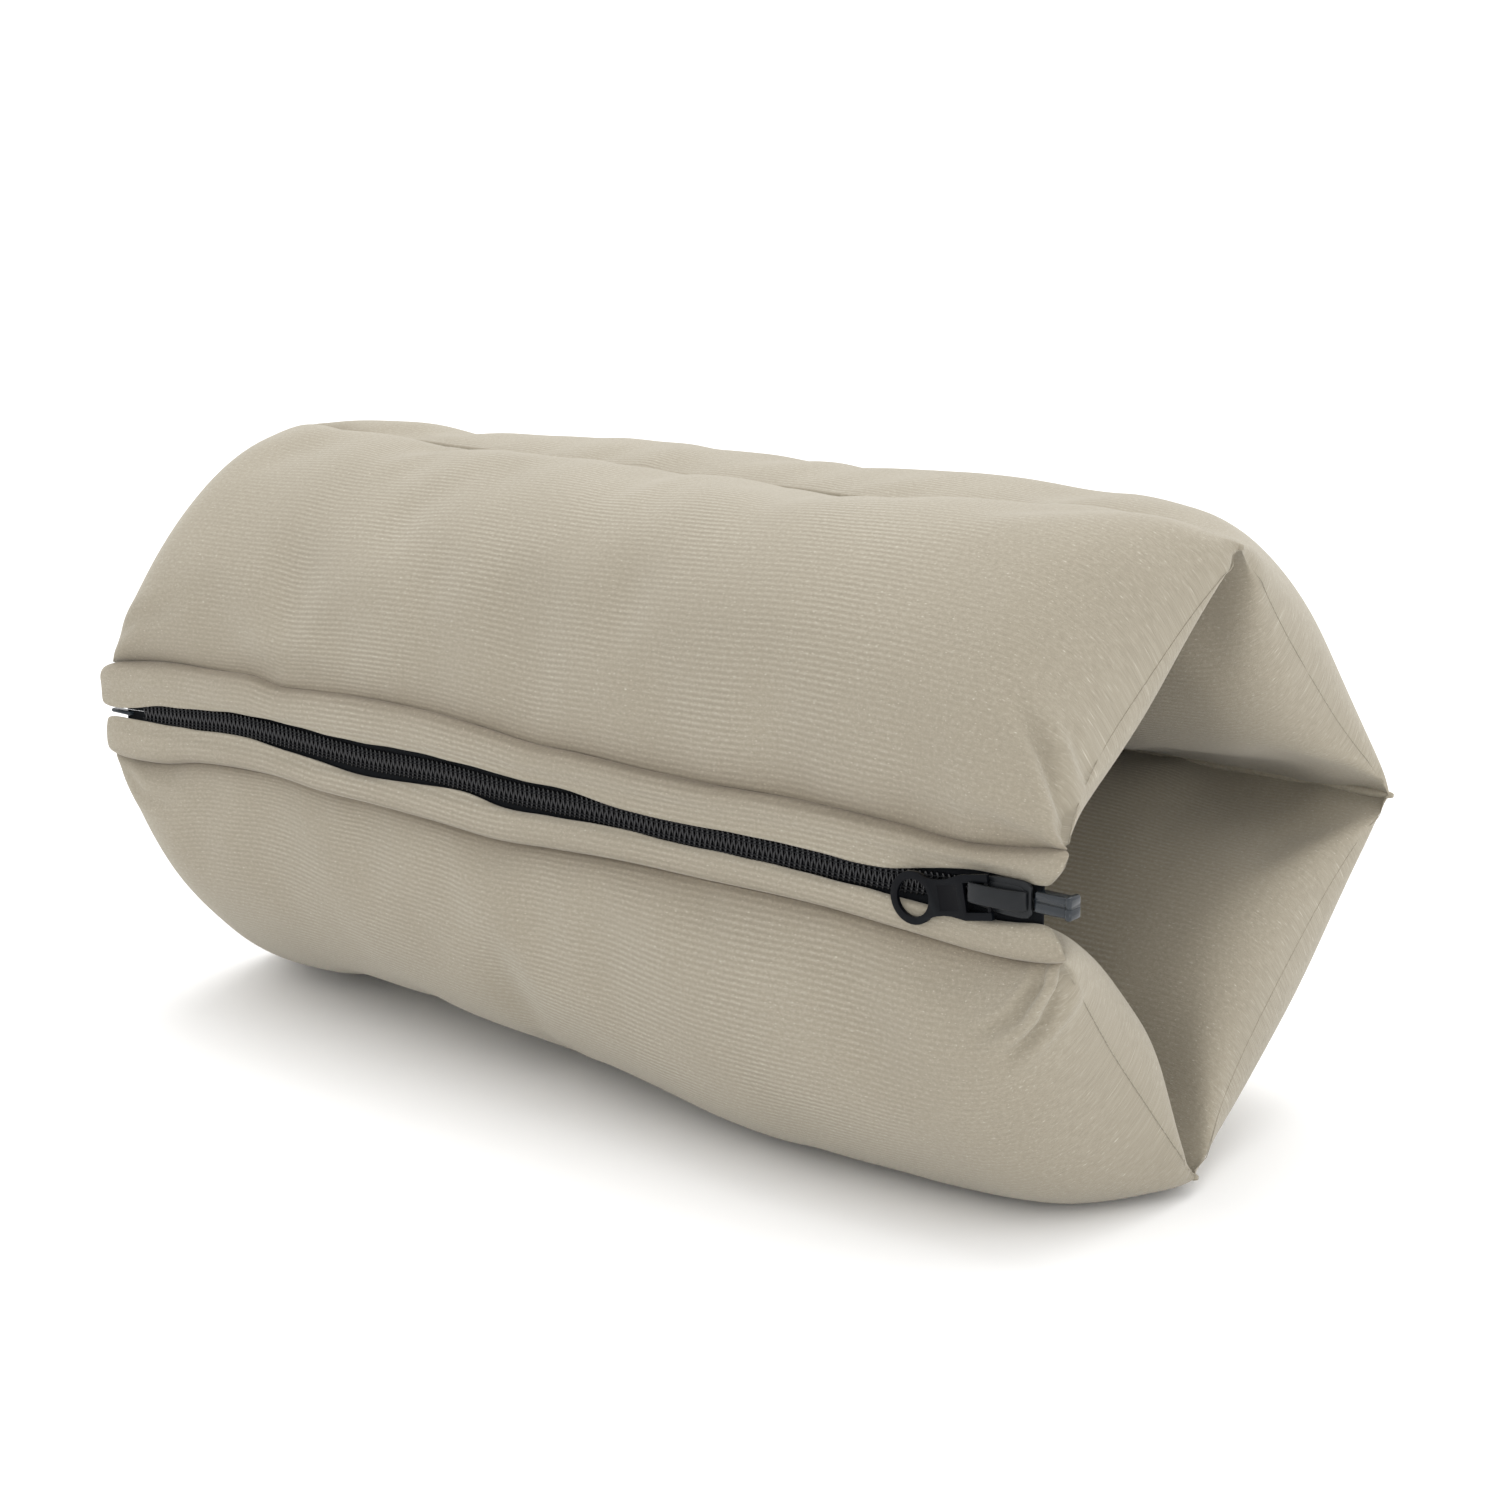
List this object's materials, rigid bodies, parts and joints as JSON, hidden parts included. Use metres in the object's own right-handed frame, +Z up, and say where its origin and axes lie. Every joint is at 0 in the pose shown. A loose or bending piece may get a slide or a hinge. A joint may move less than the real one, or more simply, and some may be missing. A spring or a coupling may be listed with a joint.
{
  "type": "lumbar support cushion",
  "caption": "Hollow lumbar cushion roll: stuffed knit channels hinged at their fold seams, zipped along the front, that unzips and opens into a flat mat.",
  "frame": {"origin": "middle of the base, on the surface that the roll lies on", "axes": "+X along the roll towards the parked zip slider, -Y the zipped front, +Z up"},
  "size_m": [0.321, 0.1616, 0.1633],
  "materials": {
    "knit_cover": "matte",
    "knit_lining": "matte",
    "fibre_filling": "matte",
    "seam_ridge": "matte",
    "zip_tape": "matte",
    "zip_coil": "gloss",
    "slider_lacquer": "satin",
    "pull_lacquer": "satin",
    "zip_end_plastic": "satin"
  },
  "bodies": {
    "lower_rear": {"lower_rear_cover": "knit_cover", "lower_rear_lining": "knit_lining", "lower_rear_filling": "fibre_filling", "lower_rear_end_seams": "seam_ridge", "fold_seam_bottom": "seam_ridge", "fold_seam_rear": "seam_ridge"},
    "upper_rear": {"upper_rear_cover": "knit_cover", "upper_rear_lining": "knit_lining", "upper_rear_filling": "fibre_filling", "upper_rear_end_seams": "seam_ridge", "fold_seam_top": "seam_ridge"},
    "upper_front": {"upper_front_cover": "knit_cover", "upper_front_lining": "knit_lining", "upper_front_filling": "fibre_filling", "upper_front_end_seams": "seam_ridge", "placket_upper": "knit_cover", "placket_seam_upper": "seam_ridge", "zip_tape_upper": "zip_tape", "zip_coil_upper": "zip_coil", "top_stop_upper": "zip_end_plastic", "insertion_pin": "zip_end_plastic"},
    "lower_front": {"lower_front_cover": "knit_cover", "lower_front_lining": "knit_lining", "lower_front_filling": "fibre_filling", "lower_front_end_seams": "seam_ridge", "placket_lower": "knit_cover", "placket_seam_lower": "seam_ridge", "zip_tape_lower": "zip_tape", "zip_coil_lower": "zip_coil", "top_stop_lower": "zip_end_plastic", "retaining_box": "zip_end_plastic"},
    "zip_slider": {"slider_front_plate": "slider_lacquer", "slider_rear_plate": "slider_lacquer", "slider_crown": "slider_lacquer"},
    "zip_pull": {"pull_tab": "pull_lacquer"}
  },
  "joints": [
    {"name": "fold_bottom", "type": "hinge", "parent": "lower_rear", "child": "lower_front", "pos_m": [0, -0.0125, 0.0046], "axis": [1, 0, 0], "range_deg": [0, 89]},
    {"name": "fold_rear", "type": "hinge", "parent": "lower_rear", "child": "upper_rear", "pos_m": [0, 0.076, 0.0806], "axis": [-1, 0, 0], "range_deg": [0, 95]},
    {"name": "fold_top", "type": "hinge", "parent": "upper_rear", "child": "upper_front", "pos_m": [0, -0.002, 0.1546], "axis": [-1, 0, 0], "range_deg": [0, 82]},
    {"name": "zip_travel", "type": "slide", "parent": "lower_front", "child": "zip_slider", "axis": [-1, 0, 0], "range_m": [0, 0.284]},
    {"name": "pull_flip", "type": "hinge", "parent": "zip_slider", "child": "zip_pull", "pos_m": [0.1395, -0.076, 0.0856], "axis": [0, 0, 1], "range_deg": [0, 150]}
  ]
}
